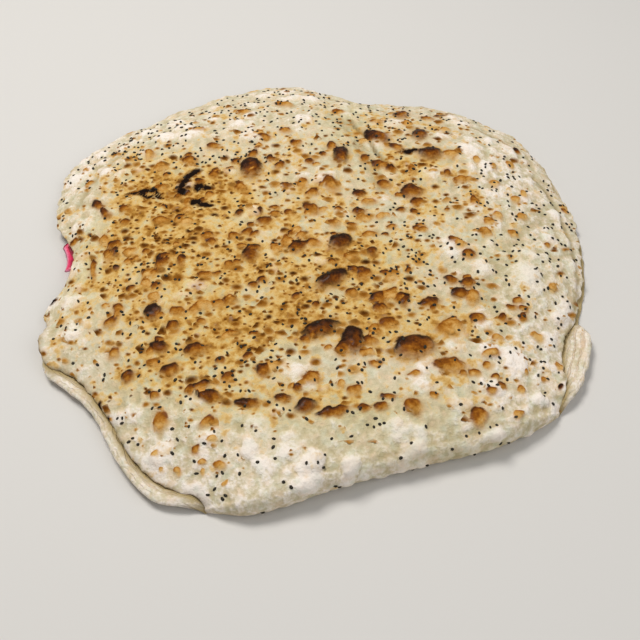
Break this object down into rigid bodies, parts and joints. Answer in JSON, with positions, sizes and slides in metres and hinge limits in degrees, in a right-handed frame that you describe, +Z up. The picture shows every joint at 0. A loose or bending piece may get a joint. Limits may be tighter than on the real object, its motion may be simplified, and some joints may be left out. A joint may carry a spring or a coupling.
{
  "type": "folded seeded flatbread",
  "caption": "Large thin oven-baked flatbread, blistered and seeded, folded once over a flat pink filling to serve or tear.",
  "frame": {"origin": "middle of the bread's box, on the flat underside that it rests on", "axes": "+Z up through the two halves, +Y away from the fold towards the far open edge, +X to the right along the fold"},
  "size_m": [0.3022, 0.3148, 0.0267],
  "materials": {
    "bread": "matte baked dough, browned in spots",
    "filling": "moist pink pickled slices"
  },
  "bodies": {
    "root": {"flatbread": "bread", "filling": "filling"}
  },
  "joints": []
}
